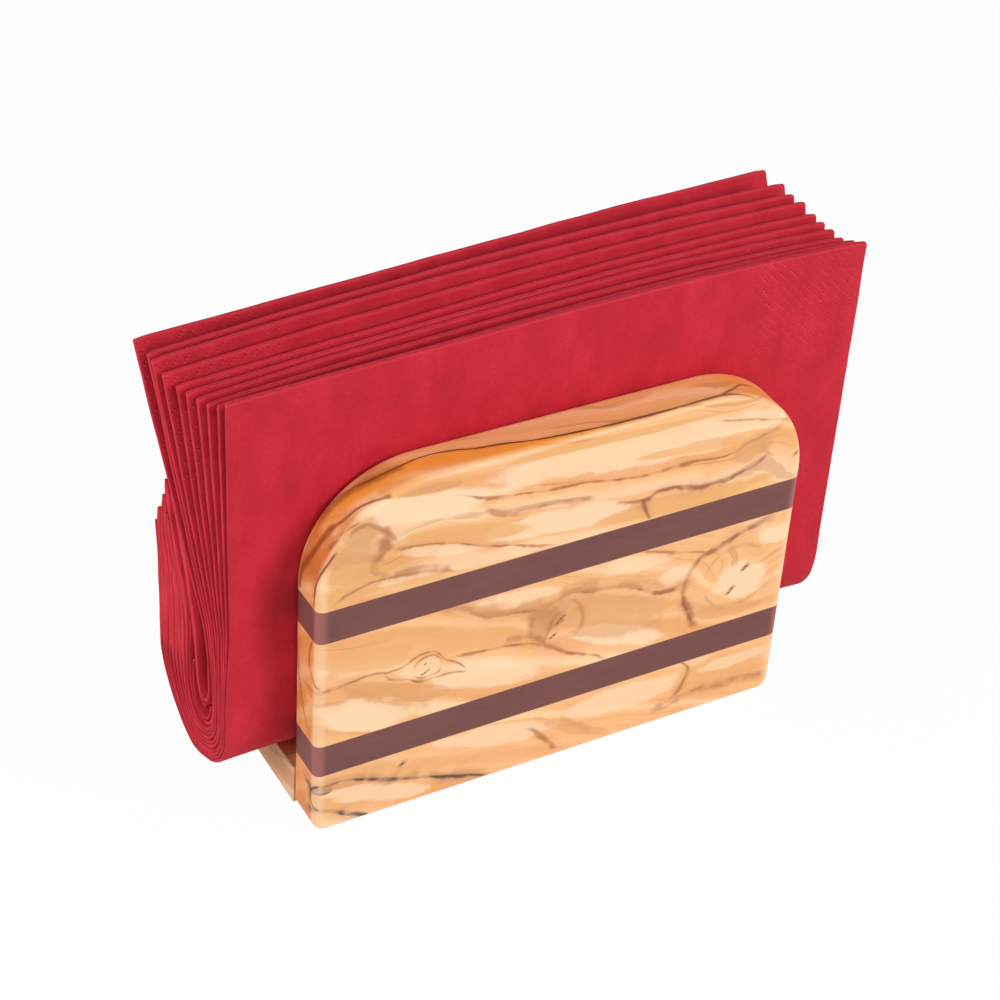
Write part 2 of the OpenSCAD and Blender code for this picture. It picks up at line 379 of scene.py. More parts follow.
frontMiddle = {
    "name": "oliveFrontMiddle", "slope": 0.30, "swing": 10, "seed": 8.4,
    "knots": [(28.5, 40.6, 7, 4.5, 5), (63.5, 41, 7.5, 6, 6), (116, 39, 11, 9.5, 9)],
    "patches": [
        ("cream", 0.8, 52, 53.6, 11, 2.4, -6), ("cream", 0.75, 83, 53.6, 13, 2.6, -10),
        ("cream", 0.9, 81, 32.6, 14, 3.2, -22), ("cream", 0.95, 13, 32, 14, 4.4, -18),
        ("cream", 0.8, 45, 33.4, 15, 4, -16), ("cream", 0.8, 97, 46.6, 5, 3, 8),
        ("cream", 0.85, 124.5, 50, 5, 2.8, -10), ("cream", 0.85, 116, 39, 8.5, 6.6, -8),
        ("cream", 0.5, 28.5, 40.7, 3.4, 2.8, 0), ("tan", 0.6, 76, 40.4, 20, 6, -20),
        ("tan", 0.5, 20, 37, 14, 2, -22), ("tan", 0.5, 112, 30, 10, 2.4, -8),
        ("honey", 0.7, 12, 48, 14, 4, -12), ("grey", 0.5, 60, 43.5, 5, 4.5, -20),
    ],
    "veins": [
        ("plum", 0.85, 1.0,
         [(31, 56.9), (38, 55), (42, 52), (50, 50), (58, 48.6), (63, 49.5), (67, 50.8), (71, 49.6),
          (77, 48.3), (83, 47), (88, 44), (94, 41.8), (101, 42)]),
        ("tan", 0.8, 2.0,
         [(30, 57.2), (36, 56), (42, 53), (50, 51), (60, 49.5), (68, 51.5), (76, 49.4), (86, 46.6),
          (96, 43)]),
        ("brown", 0.8, 0.45, [(-1, 42.7), (8, 43.2), (14, 43.6), (19, 42.4)]),
        ("brown", 0.85, 0.45,
         [(35, 42), (43, 40.6), (48, 40), (54, 38.8), (60, 36.5), (66, 33), (73, 29.2),
          (79, 26.4)]),
        ("brown", 0.8, 0.4,
         [(17, 42.6), (22, 43.3), (25, 44.6), (28, 45.2), (31, 44), (33, 41.6), (35, 40.4),
          (37.6, 38.4), (39.4, 35.8)]),
        ("brown", 0.8, 0.4,
         [(17, 42.4), (19.5, 40.1), (23, 39), (25.5, 37.5), (29, 36.6), (33, 36.8), (39.4, 35.7)]),
        ("brown", 0.7, 0.35, [(24.4, 40.6), (25.6, 43), (28.6, 43.9), (31.4, 42.6), (32.4, 40.4)]),
        ("brown", 0.7, 0.35,
         [(24.4, 40.6), (25.6, 38.6), (28.6, 37.7), (31.6, 38.6), (32.4, 40.4)]),
        ("grey", 0.6, 0.9, [(57, 46.5), (56, 42.5), (58, 38.6), (62.5, 35.6), (65.6, 33)]),
        ("grey", 0.5, 0.9, [(67, 48.5), (69.6, 44.5), (70.4, 40), (68.4, 36.2)]),
        ("brown", 0.5, 0.5, [(59.5, 37), (61, 41), (63, 45), (66, 46.4)]),
        ("grey", 0.6, 1.0, [(49, 42), (54, 41), (58, 39.4), (61, 36.8)]),
        ("plum", 0.8, 1.0, [(101, 47.6), (106, 50.4), (111, 52), (117, 54.4), (125, 56)]),
        ("grey", 0.9, 1.3, [(105, 26), (101.4, 33), (99.6, 39), (100.4, 44), (102.2, 48.6)]),
        ("plum", 0.6, 0.5, [(104, 28), (101, 33), (99.4, 39), (100.2, 44), (102.4, 48.6)]),
        ("brown", 0.7, 0.45, [(85, 57), (91, 55), (98, 52.6), (105.5, 50.4)]),
        ("tan", 0.8, 0.7, [(105, 40), (106.4, 45), (110, 48.6), (116, 49.4), (122, 47)]),
        ("tan", 0.8, 0.7, [(105, 40), (107, 35), (111, 31.4), (117, 31), (124, 34), (127, 38)]),
        ("tan", 0.7, 1.6, [(5, 43), (11, 38.5), (19, 33.5), (30, 29)]),
    ],
    "endVeins": [
        ("rust", 0.8, 0.5, [(56.9, 2.6), (52.1, 4), (48.6, 4.3), (46.1, 2.6), (43, 0.2)]),
        ("bark", 0.7, 0.35,
         [(56, 11.4), (45.1, 10.2), (39.1, 8.8), (34.5, 7.4), (30.1, 5.5), (27, 3.2)]),
    ],
    "pits": [(27.9, 41.9, 0.18), (27.2, 38.9, 0.2), (28.1, 39.3, 0.24), (28.9, 39.8, 0.16),
             (63.5, 42.2, 0.26), (64.3, 43.2, 0.3), (65.1, 43.9, 0.2), (64.7, 42.4, 0.18),
             (61.9, 38.2, 0.2), (62.7, 38.7, 0.3), (117.3, 42.1, 0.5), (116.6, 41.4, 0.3),
             (113.8, 36.2, 0.45), (113.0, 35.2, 0.34)],
}
frontLower = {
    "name": "oliveFrontLower", "slope": 0.26, "swing": 8, "seed": 15.2,
    "knots": [(23, 12.5, 3, 2.4, 2)],
    "patches": [
        ("cream", 0.8, 16, 6, 14, 2.6, -18), ("cream", 0.7, 50, 12, 16, 3, -10),
        ("cream", 0.7, 84, 11, 18, 4, 0), ("honey", 0.7, 114, 9, 14, 6, 0),
        ("dark", 0.9, 1.6, 12.2, 2.8, 1.5, -10), ("tan", 0.6, 6, 13, 9, 2, -6),
        ("tan", 0.5, 70, 7, 12, 2, -30), ("cream", 0.6, 118, 12, 10, 2, 0),
    ],
    "veins": [
        ("tan", 0.8, 2.2, [(0, 13.6), (8, 13), (18, 10), (28, 6.8), (38, 3.4), (48, 0)]),
        ("dark", 0.95, 0.6,
         [(0, 13.2), (6, 13.1), (10, 12.2), (14, 11), (18, 9.5), (24, 7.5), (31, 5), (38, 3),
          (48, -0.8)]),
        ("dark", 0.95, 1.0, [(-1, 6.3), (1, 5.6), (4, 4.5), (9, 2), (15, -1.2)]),
        ("brown", 0.75, 1.1, [(56.6, 11.6), (59, 9.6), (61.5, 7), (63.5, 4.6), (66, 1)]),
        ("brown", 0.75, 0.9, [(96, 4.2), (100.4, 6.2), (103, 10), (104, 13), (101.4, 16.9)]),
        ("grey", 0.7, 1.3, [(93, 3.8), (102, 4.6), (110, 5.6), (118, 5), (129, 4.2)]),
        ("tan", 0.7, 1.2, [(66, 11), (72, 7), (76, 3)]),
    ],
    "endVeins": [
        ("dark", 0.95, 0.65,
         [(14, -0.2), (12.6, 1.2), (10.6, 2.5), (8.6, 2.6), (7.2, 1.7), (6.1, 0.5), (5, -0.4)]),
        ("tan", 0.7, 0.7, [(17, 8.6), (13, 8), (10.4, 5), (7, 4.4), (3, 6)]),
    ],
    "pits": [(23, 12.6, 0.5)],
}
backUpper = {
    "name": "oliveBackUpper", "slope": -0.14, "swing": 10, "seed": 23.7,
    "knots": [(92, 80, 10, 7, 7)],
    "patches": [("cream", 0.7, 40, 86, 22, 3.4, 6), ("cream", 0.6, 70, 73, 18, 3, 4),
                ("tan", 0.6, 92, 80, 7, 4, 10), ("honey", 0.7, 20, 74, 12, 4, 8)],
    "veins": [
        ("brown", 0.8, 0.5, [(6, 80), (20, 83), (38, 82), (52, 85), (70, 87), (88, 89), (108, 88)]),
        ("plum", 0.75, 0.8, [(30, 70), (44, 72.4), (58, 71.6), (72, 75), (84, 78)]),
        ("brown", 0.7, 0.45, [(92, 73), (104, 71), (116, 74), (128, 75)]),
    ],
    "pits": [(91, 80.6, 0.5)],
}
backMiddle = {
    "name": "oliveBackMiddle", "slope": -0.25, "swing": 10, "seed": 31.1,
    "knots": [(44, 42, 10, 8, 8), (101, 36, 8, 6, 6)],
    "patches": [("cream", 0.8, 20, 50, 16, 3.4, 12), ("cream", 0.8, 74, 47, 18, 3, 10),
                ("cream", 0.7, 44, 42, 6, 4.6, 0), ("tan", 0.6, 66, 33, 16, 3, 14),
                ("cream", 0.7, 112, 50, 12, 3, 6)],
    "veins": [
        ("plum", 0.8, 0.9,
         [(2, 33), (16, 36), (28, 35), (38, 32.6), (50, 32), (62, 37), (78, 40), (90, 43),
          (104, 44), (124, 48)]),
        ("brown", 0.8, 0.45, [(8, 44), (20, 46.4), (32, 49), (44, 51.4), (56, 50), (70, 53)]),
        ("brown", 0.7, 0.45, [(84, 28), (96, 30.4), (108, 31), (120, 35)]),
    ],
    "pits": [(43, 43, 0.6), (45.6, 40.4, 0.45), (101, 36.4, 0.5)],
}
backLower = {
    "name": "oliveBackLower", "slope": -0.2, "swing": 8, "seed": 44.9,
    "knots": [],
    "patches": [("cream", 0.7, 34, 9, 18, 3, 6), ("cream", 0.7, 90, 11, 20, 3, 4),
                ("honey", 0.6, 64, 5, 14, 2.4, 6)],
    "veins": [
        ("dark", 0.85, 0.6, [(82, -0.5), (92, 3.4), (104, 6.6), (116, 8), (130, 11)]),
        ("brown", 0.7, 0.7, [(4, 4), (18, 6.4), (32, 5.6), (46, 9), (60, 12)]),
    ],
    "pits": [],
}
baseFigure = {
    "name": "oliveBase", "slope": 0.1, "swing": 8, "seed": 57.3,
    # painted shade on the base board's end, which lies under the napkins
    "endShade": 0.8, "endTone": tone(211, 221, 243), "knots": [], "pits": [],
    "patches": [("tan", 0.5, 4, 5, 40, 3, 0)],
    "veins": [("brown", 0.7, 0.6, [(0, 3), (30, 4.4), (70, 3.6), (131, 5.4)])],
}


def drawnLine(along, across, points, width, presence):
    # a vein whose middle line passes through the points, thin and faint at both ends
    points = sorted(points)
    first, last = points[0][0], points[-1][0]
    low = min(p[1] for p in points) - 2
    high = max(p[1] for p in points) + 2
    long, tall = last - first, high - low
    share = (along - first) / long
    line = share.curve([((a - first) / long, (b - low) / tall) for a, b in points]) * tall + low
    inside = (share * (1 - share) * 4).clip()
    reach = presence * width
    away = abs(across - line)
    # a core with a faint stain round it
    core = away.fall(reach * 0.25, reach * 1.15) * (inside * 4).clip()
    return core * 0.85 + away.fall(reach * 0.5, reach * 4) * inside * 0.22


def paintedEdgeHighlight(x, depth):
    # painted highlight: the eased upright edges are painted paler, as where the light catches them
    fromEnd = halfLength - abs(x - halfLength)
    return fromEnd.fall(1.2, 3.2) * depth.fall(1.0, 3.0)


def woodMaterial(figure, side):
    # side is -1 in front, 1 at the back and 0 for the base board; depth counts from the outer
    # face inwards
    look = {**oliveWood, **figure}
    made, start = newMaterial(look["name"])
    x, y, z = placeOn(start)
    x, z = x + halfLength, z - 1
    depth = y * -side + outerFace if side else y * 0.4 + 8.4
    seed, thick = figure["seed"], holder["thick"]
    # everything drifts a little, so that no line is drawn with a ruler
    drift = start.point(x / 9, y / 7 + seed, z / 5).noise(3, 0.55)
    sway = start.point(x / 34, y / 18 + seed, z / 15).noise(2)
    veinZ = z + (drift - 0.5) * 2.2 + depth * 0.25
    veinX = x + (sway - 0.5) * 2.2
    flow = veinZ + x * figure["slope"] + (sway - 0.5) * figure["swing"] + depth * 0.6
    for middleX, middleZ, halfX, halfZ, swell in figure["knots"]:
        a, b = (x - middleX) / halfX, (z - middleZ) / halfZ
        flow = flow + ((a * a + b * b) * -1).math("EXPONENT") * swell
    streak = (flow * 0.14 + seed).bands(1.2)
    fibre = start.point(x * 0.09, y * 1.7 + seed, z * 1.7).noise(3, 0.6)
    pores = start.point(x * 0.3, y * 4.2, z * 4.2 + seed).noise(1)
    colour = streak.ramp(look["streaks"])
    blush = start.point(x / 17 + 5, y / 9, z / 7 + seed).noise(1).rise(0.45, 0.62)
    colour = colour.blend(blush * 0.35, tone(243, 182, 138))
    # thread lines that follow the figure and come and go
    where = start.point(x / 22, y / 18, z / 9 + seed).noise(1).rise(0.46, 0.60)
    thread = abs((flow * 0.17 + seed * 3).bands(1) - 0.5).fall(0.002, 0.014)
    colour = colour.blend(thread * where * 0.38, woodTones["brown"])
    # pale and brown areas with broken edges
    for name, strength, middleX, middleZ, halfX, halfZ, tilt in figure["patches"]:
        turn = math.radians(tilt)
        a = ((x - middleX) * math.cos(turn) + (z - middleZ) * math.sin(turn)) / halfX
        b = ((z - middleZ) * math.cos(turn) - (x - middleX) * math.sin(turn)) / halfZ
        spread = a * a + b * b + (streak - 0.5) * 1.2 + (drift - 0.5) * 2.4
        near = spread.fall(0.6, 1.3) * depth.fall(3.0, 7.0)
        colour = colour.blend(near * strength, woodTones[name])
    width = drift.rise(0.25, 0.8) + 0.45
    # a vein is strong for a while and then nearly fades
    broken = start.point(x / 5, y / 4, z / 4 + seed * 2).noise(1)
    broken = broken.rise(0.34, 0.58) * 0.65 + 0.35
    shown = depth.fall(4.0, 8.0)
    for name, strength, reach, points in figure["veins"]:
        (a, b), (c, d) = points[0], points[-1]
        if abs(c - a) >= abs(d - b):
            line = drawnLine(veinX, veinZ, points, reach * 1.3, width)
        else:
            line = drawnLine(veinZ, veinX, [(b, a) for a, b in points], reach * 1.3, width)
        colour = colour.blend(line * strength * shown * broken, woodTones[name])
    offFront = depth.rise(0.0, 0.5)
    if side:
        rim = depth.math("MINIMUM", thick - depth).rise(0.5, 2.4)
    else:
        rim = abs(y).rise(30, 31)
    endFaces = abs(x - halfLength).rise(63.5, 64.8)
    colour = colour.blend(rim * 0.2, tone(250, 214, 156), "MULTIPLY")
    # painted shade: the rim is darker towards the left arc
    colour = colour.blend(rim * x.fall(3, 18) * 0.6, tone(236, 208, 170), "MULTIPLY")
    if side < 0:
        # the left arc is stained in patches
        stain = rim * x.fall(8, 24) * z.rise(68, 76) * sway.rise(0.40, 0.52)
        colour = colour.blend(stain * 0.75, tone(206, 148, 86), "MULTIPLY")
    # the end faces are darker; on the base board's end, under the napkins, this is painted shade
    colour = colour.blend(endFaces * look["endShade"], look["endTone"], "MULTIPLY")
    if side:
        # painted highlight on the eased upright edges of the boards
        colour = colour.blend(paintedEdgeHighlight(x, depth) * 0.4, woodTones["cream"])
    if "glow" in figure:
        # the orange wood between the front and the dark line on top
        long = holder["length"]
        upper, lower = [(x / long).curve([(a / long, b / thick) for a, b in figure[part]]) * thick
                        for part in ("glowTop", "glow")]
        band = depth.rise(lower - 0.8, lower + 1.6) * depth.fall(upper - 0.2, upper + 0.3)
        colour = colour.blend(band * z.rise(80, 90) * 0.85, woodTones["orange"])
        far = x.rise(104, 112) * depth.rise(1.0, 2.6) * x.fall(118, 124)
        colour = colour.blend(far * 0.55 * z.rise(86, 92), woodTones["orange"])
    for part, along, near in (("rimVeins", x, z.rise(74, 78)), ("endVeins", z, x.fall(6, 14))):
        for name, strength, reach, points in figure.get(part, []):
            line = drawnLine(along, depth, points, reach, width) * near * offFront
            colour = colour.blend(line * strength, woodTones[name])
    dents = None
    for middleX, middleZ, radius in figure["pits"]:
        # a small tear that leans to the right
        a, b = x - middleX, z - middleZ
        a, b = a * 0.8 + b * 0.6, b * 0.8 - a * 0.6
        away = (a * a * 0.45 + b * b * 1.8).math("SQRT") + (pores - 0.5) * 0.6
        pit = away.fall(radius * 0.55, radius * 1.25) * depth.fall(1, 2)
        ring = away.fall(radius * 1.2, radius * 3.2) * depth.fall(1, 2)
        colour = colour.blend(ring * 0.4, woodTones["brown"]).blend(pit * 0.85, woodTones["dark"])
        dents = pit if dents is None else dents + pit
    colour = colour.times(1 + (fibre - 0.5) * 0.09 - pores.rise(0.60, 0.72) * 0.03)
    rough = 0.40 + (fibre - 0.5) * 0.14 + endFaces * 0.08
    height = fibre * 0.5 - pores.rise(0.60, 0.72) * 0.3
    if dents is not None:
        height = height - dents * 6
    shade(start, colour, rough, height, look["bump"],
          {"Coat Weight": 0.05, "Coat Roughness": 0.3, "IOR": 1.5, "Specular IOR Level": 0.4})
    return made


darkStrip = {"name": "darkStrip", "mid": tone(110, 62, 58), "low": tone(104, 58, 54),
             "high": tone(117, 69, 64), "edgeHighlight": tone(160, 94, 88), "rough": 0.5, "bump": 0.00003}


def stripMaterial(look):
    made, start = newMaterial(look["name"])
    x, y, z = placeOn(start)
    fibre = start.point(x * 0.10, y * 2.2, z * 2.2).noise(3, 0.6)
    cloud = start.point(x / 18, y / 6, z / 5).noise(2)
    pores = start.point(x * 0.28, y * 4.5, z * 4.5).noise(1).rise(0.62, 0.72)
    colour = (fibre * 0.6 + cloud * 0.4).ramp(
        [(0.32, look["low"]), (0.5, look["mid"]), (0.70, look["high"])])
    colour = colour.times(1 - pores * 0.16)
    # painted highlight on the eased upright edges of the strips
    edgeHighlight = paintedEdgeHighlight(x + halfLength, outerFace - abs(y))
    colour = colour.blend(edgeHighlight * 0.75, look["edgeHighlight"])
    shade(start, colour, look["rough"] + (fibre - 0.5) * 0.12, fibre * 0.5 - pores * 0.4,
          look["bump"], {"Coat Weight": 0.05, "Coat Roughness": 0.3, "IOR": 1.45})
    return made


dowelWood = {"name": "dowelWood", "pale": tone(236, 208, 160), "mid": tone(214, 178, 124)}


def dowelMaterial(look):
    made, start = newMaterial(look["name"])
    x, y, z = placeOn(start)
    fibre = start.point(x * 2.4, y * 0.2, z * 2.4).noise(3, 0.6)
    rings = ((x * 0.4 + z * 1.1 + fibre * 1.5) * 1.2).bands(2)
    colour = rings.ramp([(0.35, look["mid"]), (0.65, look["pale"])])
    colour = colour.times(1 + (fibre - 0.5) * 0.2)
    shade(start, colour, 0.6 + (fibre - 0.5) * 0.2, fibre, 0.00005, {"IOR": 1.5})
    return made


figures = {
    "front_upper_board": (frontUpper, -1), "front_middle_board": (frontMiddle, -1),
    "front_lower_board": (frontLower, -1), "back_upper_board": (backUpper, 1),
    "back_middle_board": (backMiddle, 1), "back_lower_board": (backLower, 1),
    "base_board": (baseFigure, 0),
}
stripLook = stripMaterial(darkStrip)
for name, board in boards.items():
    if name in figures:
        board.data.materials.append(woodMaterial(*figures[name]))
    else:
        board.data.materials.append(stripLook)
    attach(board, "holder")
    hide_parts(name)
dowelLook = dowelMaterial(dowelWood)
for name, solid in nodes.items():
    if "dowel" in name:
        for slotPlace in solid.material_slots:
            slotPlace.material = dowelLook
print("woods:", len(figures), "figured boards, 4 dark strips, 6 dowels")


# The folded napkins, side view in millimetres; napkin 0 is at the front. Heights are counted
# from 10 mm below the top of the base board.
stack = {
    "frontLeg": -20.2, "pitch": 0.95, "lastLeg": -11.4, "lift": 1.0,
    "knee": 46, "kneeRun": 12, "leanRun": 64,
    "legTops": (-20.2, -16.2, -13.2, -10.4, -8, -5.4, -2.7, 0.3, 4.6, 12.2),
    "legHeights": (128, 116, 104, 94, 84, 76, 70, 64, 58, 54, 50, 46, 40, 33),
    # low down the tall legs lie in packets
    "legShift": (0, 0.23, 0.10, -0.03, 0.14, 0, 0.23, 0.10, -0.03, 0), "packed": (60, 90),
    "outerBend": ((-20.2, 26), (-19.1, 20), (-15.9, 15), (-11, 11.7), (-5.2, 10.72), (1, 10.72),
                  (6.9, 11.3), (12.3, 13.7), (16.6, 18.1), (19.4, 23.7)),
    "innerBend": ((-12.6, 27), (-12.2, 23.7), (-10.8, 21), (-8.6, 19.4), (-6, 18.8), (-3.2, 18.9),
                  (-0.6, 20), (1.6, 22.2), (2.9, 25.2), (3, 28.6)),
    "lastBend": ((-10.2, 31.2), (-9.6, 29), (-8.4, 27.4), (-6.7, 27), (-5, 28), (-3.7, 30.2)),
    "bendShare": (0, 0.105, 0.21, 0.315, 0.46, 0.6, 0.74, 0.88, 1), "bendRoom": 7.6,
    "backHeights": (32, 36, 41, 46, 51, 56, 60, 63, 66, 69, 72, 77),
    "backOuter": (18.9, 18.9, 19, 19.1, 19.1, 19.4, 20.3, 20.3, 19.8, 18.8, 18.2, 17.4),
    "backPitch": (1.88, 1.92, 2, 1.95, 1.8, 1.6, 1.38, 1.2, 1, 1, 0.96, 0.96),
    "backInner": (3.2, 3.1, 2.6, 2.8, 3.8, 6, 8.2, 9.6, 10.9, 12, 13, 13.7),
    "backLast": (-2.9, -2.9, -2.6, -1.7, -0.4, 1.2, 2.6, 3.7, 5.1, 6.1, 7.4, 10),
    "backTops": (61.5, 66, 66.5, 72, 72.4, 70.5, 68, 67, 77.5, 78.5),
    "width": 166.6, "left": -82.1, "right": 84.5, "straight": 33, "waist": 55,
    "leftShift": (0.7, 0.6, -0.6, -1.8, -3.2, -4.4, -6.3, -7.4, -6.7, -6.9),
    "rightShift": (-0.3, -0.4, -1.6, -2.5, -3.6, -4.5, -5.7, -6.9, -6.5, -6.4),
    "leftTop": (119.5, 116.4, 115.4, 115.4, 116, 116.3, 118, 119.8, 118.8, 118),
    "rightTop": (121, 119.1, 118.5, 119.4, 120.3, 121.3, 123.2, 123.8, 124.2, 123.7),
    # how far the top edge rises between its ends, evenly and towards the right
    "bow": (0.6, 0.3, 1.8, 2.0, 0.8, 0.6, 1.6, 2.1, 1.7, 0.4),
    "lateBow": (1.2, 1.8, 1.0, 0.9, 1.3, 1.2, 0.2, 0, 0, 0.3),
    # half the thickness, where there is room for it
    "half": 0.41, "topHalf": 0.72, "bendHalf": 0.42, "tipHalf": 0.45, "puffHalf": 1.2,
    # what stays free between a napkin and the middle to its neighbour, and beside a panel
    "gap": 0.025, "wallGap": 0.1, "slotTop": 96,
    # inner leaves of the last napkins that buckle inside the bend
    "leaves": (
        ((-11.5, 33.5), (-11.5, 30), (-11.4, 27), (-11, 24.4), (-9.9, 22.2), (-8.2, 20.7), (-6, 20),
         (-3.4, 20.1), (-1.1, 21), (0.6, 22.9), (1.7, 25.6), (1.9, 28.8), (1.9, 32), (1.8, 36),
         (1.4, 41), (1.4, 45)),
        ((-10.2, 27.2), (-9.9, 25), (-8.9, 23), (-7.4, 21.7), (-5.4, 21.3), (-3.2, 21.7),
         (-1.4, 23), (-0.2, 25.2), (0.3, 28), (0.3, 31), (-0.1, 33.8), (-0.9, 34.8), (-1.6, 34),
         (-1.7, 31.6), (-2, 29), (-2.9, 26.6), (-4.3, 25), (-5.9, 24.5), (-7.1, 25)),
    ),
    "leafHalf": 0.32, "leafInset": 0.5,
    # the loose sides, with the pressed dots, are on the right of the first ones
    "looseLeft": (0, 0, 0, 0, 1, 1, 1, 1, 1, 1),
}


def between(value, places, heights):
    # straight-line table look-up
    if value <= places[0]:
        return heights[0]
    for i in range(len(places) - 1):
        if value <= places[i + 1]:
            share = (value - places[i]) / (places[i + 1] - places[i])
            return heights[i] + (heights[i + 1] - heights[i]) * share
    return heights[-1]


def napkinLine(k):
    # the middle line of one napkin from the tall leg's top round to the short leg's top
    s = stack
    foot = s["frontLeg"] + s["pitch"] * k if k < 9 else s["lastLeg"]

    def lean(z):
        over, run = z - s["knee"], s["kneeRun"]
        if over < 0:
            return 0
        if over < run:
            return over * over / (2 * run * s["leanRun"])
        return (over - run / 2) / s["leanRun"]

    def legY(z):
        swing = between(z, (33, 40, 46), (1.1, 0.5, 0)) if k == 9 else 0
        shift = s["legShift"][k] * between(z, s["packed"], (1, 0))
        return foot + (s["legTops"][k] - foot) * lean(z) + swing + shift

    points = [(legY(z), z) for z in s["legHeights"]]
    if k == 9:
        points += s["lastBend"]
    else:
        above = (s["pitch"] * k + s["legShift"][k]) / s["bendRoom"]
        for i, ((a, b), (c, d)) in enumerate(zip(s["outerBend"], s["innerBend"])):
            share = above + (s["bendShare"][k] - above) * min(1, i / 3)
            points.append((a + (c - a) * share, b + (d - b) * share))

    def backY(z):
        if k > 7:
            return between(z, s["backHeights"], s["backLast" if k == 9 else "backInner"])
        outer = between(z, s["backHeights"], s["backOuter"])
        return outer - k * between(z, s["backHeights"], s["backPitch"])

    lowest, top = (34 if k == 9 else 30), s["backTops"][k]
    points += [(backY(z), z) for z in s["backHeights"] if lowest < z < top - 1]
    points.append((backY(top), top))
    return points


def evenSteps(points, step):
    # the same line with points at even distances
    lengths = [0]
    for (a, b), (c, d) in zip(points, points[1:]):
        lengths.append(lengths[-1] + math.hypot(c - a, d - b))
    count, made, i = round(lengths[-1] / step), [], 0
    for n in range(count + 1):
        wanted = lengths[-1] * n / count
        while i < len(points) - 2 and lengths[i + 1] < wanted:
            i += 1
        share = (wanted - lengths[i]) / (lengths[i + 1] - lengths[i])
        (a, b), (c, d) = points[i], points[i + 1]
        made.append((a + (c - a) * share, b + (d - b) * share))
    return made


def eased(points, passes):
    # small kinks are rounded off and the two ends stay
    for _ in range(passes):
        inner = [tuple((a + 2 * b + c) / 4 for a, b, c in zip(p, q, r))
                 for p, q, r in zip(points, points[1:], points[2:])]
        points = [points[0], *inner, points[-1]]
    return points


napkinForm = {"Columns": 88, "Rows": 210, "Rim Steps": 4, "Rim": 0.25, "Corner": 0.8,
              "Left Cut": 0.0, "Right Cut": 0.0, "Bow": 0.0, "Late Bow": 0.0, "Loose Left": 0.0,
              "Shared Sway": 0.35, "Own Sway": 0.5, "Crinkle": 0.05, "Sag": 3.0, "Seed": 0.0}


